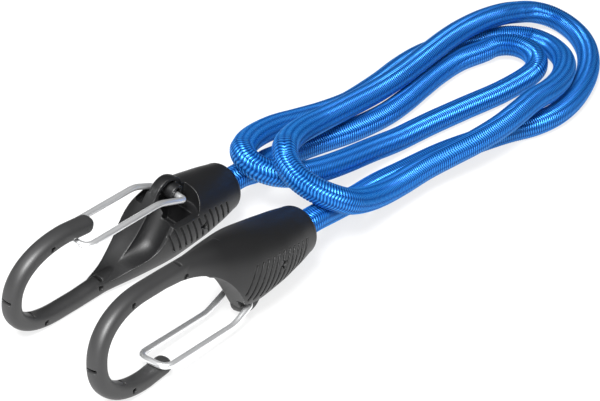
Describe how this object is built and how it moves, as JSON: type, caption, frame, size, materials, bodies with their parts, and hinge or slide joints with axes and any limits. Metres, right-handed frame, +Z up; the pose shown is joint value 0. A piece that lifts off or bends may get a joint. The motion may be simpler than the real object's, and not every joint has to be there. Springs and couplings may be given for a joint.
{
  "type": "bungee cord",
  "caption": "Elastic cord in a blue braided sheath, folded into a hank, with a ribbed moulded carabiner hook and a sprung wire gate at each end.",
  "frame": {"origin": "on the table under the middle of the two hooks' common box", "axes": "+X from the hooks' noses towards the hank of cord, along the hooks; +Y from the hook whose gate faces down to the one whose gate faces up; +Z up from the table"},
  "size_m": [0.3472, 0.0793, 0.0412],
  "materials": {
    "hook_plastic": "fine-textured black moulded nylon",
    "gate_wire": "bright zinc-plated spring wire",
    "core_steel": "plain drawn steel",
    "braid": "bright blue fine polyester braid",
    "elastic": "pale natural rubber strands, seen as one core"
  },
  "bodies": {
    "cord_and_hooks": {"hook_body_1": "hook_plastic", "hook_body_2": "hook_plastic", "steel_core_1": "core_steel", "steel_core_2": "core_steel", "cord_pin_1": "core_steel", "cord_pin_2": "core_steel", "braided_sheath": "braid", "rubber_core": "elastic"},
    "gate_1": {"wire_gate_1": "gate_wire"},
    "gate_2": {"wire_gate_2": "gate_wire"}
  },
  "joints": [
    {"name": "gate_1_hinge", "type": "hinge", "parent": "cord_and_hooks", "child": "gate_1", "pos_m": [0.02574, 0.01955, 0.0289], "axis": [0, -0.9962, -0.0872], "range_deg": [0, 27], "stiffness_Nm_per_rad": 0.35, "springref_deg": -14.32},
    {"name": "gate_2_hinge", "type": "hinge", "parent": "cord_and_hooks", "child": "gate_2", "pos_m": [0.01995, -0.02216, 0.00861], "axis": [-0.0477, 0.9936, -0.1026], "range_deg": [0, 27], "stiffness_Nm_per_rad": 0.35, "springref_deg": -14.32}
  ]
}
